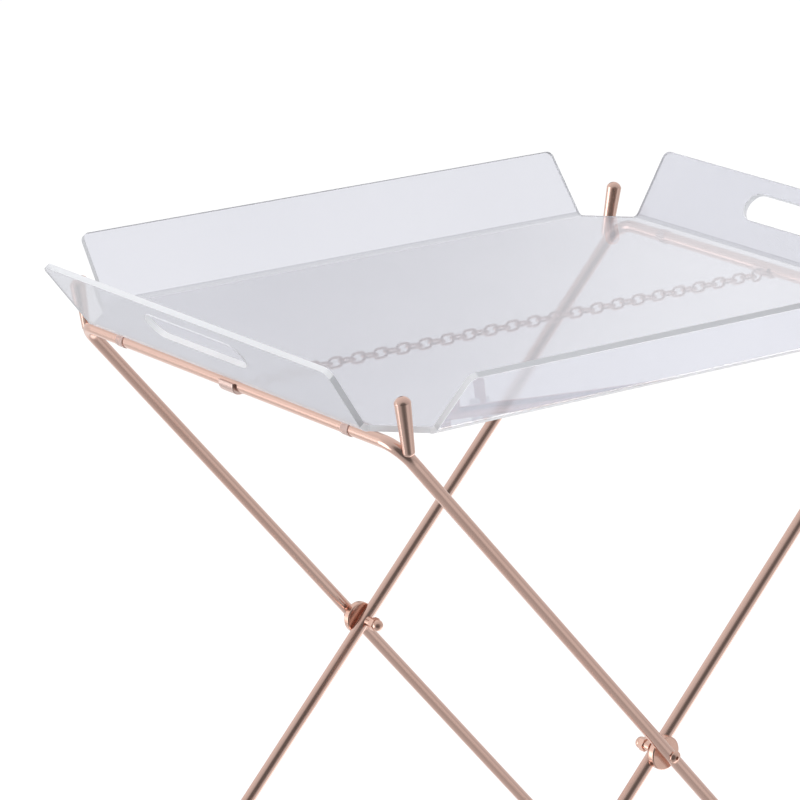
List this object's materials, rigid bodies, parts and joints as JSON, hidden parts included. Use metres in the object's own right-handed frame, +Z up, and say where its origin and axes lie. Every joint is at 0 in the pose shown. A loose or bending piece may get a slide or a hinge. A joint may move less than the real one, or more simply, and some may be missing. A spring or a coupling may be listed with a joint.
{
  "type": "folding tray table",
  "caption": "Folding tray table: a clear bent-sheet tray with flared sides and hand slots, lifting off a crossed round-rod stand with corner pegs and a stay chain.",
  "frame": {"origin": "on the floor, under the middle of the tray", "axes": "+X along the tray's long side towards the inner frame's rail, +Y across the tray to the back, +Z up"},
  "size_m": [0.6416, 0.4872, 0.6624],
  "materials": {
    "clear_sheet": "polished clear acrylic",
    "rod": "polished rose-gold plate",
    "pivot_hardware": "polished rose-gold plate",
    "chain": "polished rose-gold plate",
    "bumper": "soft, matched to the rod",
    "glide": "translucent moulded"
  },
  "bodies": {
    "inner_stand": {"inner_frame": "rod", "front_right_peg": "rod", "back_right_peg": "rod", "front_right_bumper": "bumper", "back_right_bumper": "bumper", "front_left_glide": "glide", "back_left_glide": "glide", "right_chain_eye": "chain", "front_pivot_bolt": "pivot_hardware", "front_pivot_washer": "pivot_hardware", "front_pivot_spacer": "pivot_hardware", "front_pivot_neck": "pivot_hardware", "front_cap_nut": "pivot_hardware", "back_pivot_bolt": "pivot_hardware", "back_pivot_washer": "pivot_hardware", "back_pivot_spacer": "pivot_hardware", "back_pivot_neck": "pivot_hardware", "back_cap_nut": "pivot_hardware"},
    "outer_stand": {"outer_frame": "rod", "front_left_peg": "rod", "back_left_peg": "rod", "front_left_bumper": "bumper", "back_left_bumper": "bumper", "front_right_glide": "glide", "back_right_glide": "glide", "left_chain_eye": "chain"},
    "tray": {"tray": "clear_sheet"},
    "left_half_chain": {"left_chain": "chain"},
    "right_half_chain": {"right_chain": "chain"}
  },
  "joints": [
    {"name": "fold", "type": "hinge", "parent": "inner_stand", "child": "outer_stand", "pos_m": [0, 0, 0.30402], "axis": [0, 1, 0], "range_deg": [0, 77], "deforming": ["left_chain", "right_chain"]},
    {"name": "tray_lift", "type": "slide", "parent": "inner_stand", "child": "tray", "axis": [0.165, 0, 0.9863], "range_m": [0, 1.04]},
    {"name": "left_chain_swing", "type": "hinge", "parent": "outer_stand", "child": "left_half_chain", "pos_m": [-0.2597, 0, 0.5964], "axis": [0, 1, 0], "range_deg": [0, 46.9]},
    {"name": "right_chain_swing", "type": "hinge", "parent": "inner_stand", "child": "right_half_chain", "pos_m": [0.2597, 0, 0.5964], "axis": [0, -1, 0], "range_deg": [0, 46.9]}
  ],
  "couplings": [
    {"joint": "tray_lift", "follows": "fold", "m_per_rad": 0.7735},
    {"joint": "left_chain_swing", "follows": "fold", "ratio": 0.6078},
    {"joint": "right_chain_swing", "follows": "fold", "ratio": 0.6078}
  ]
}
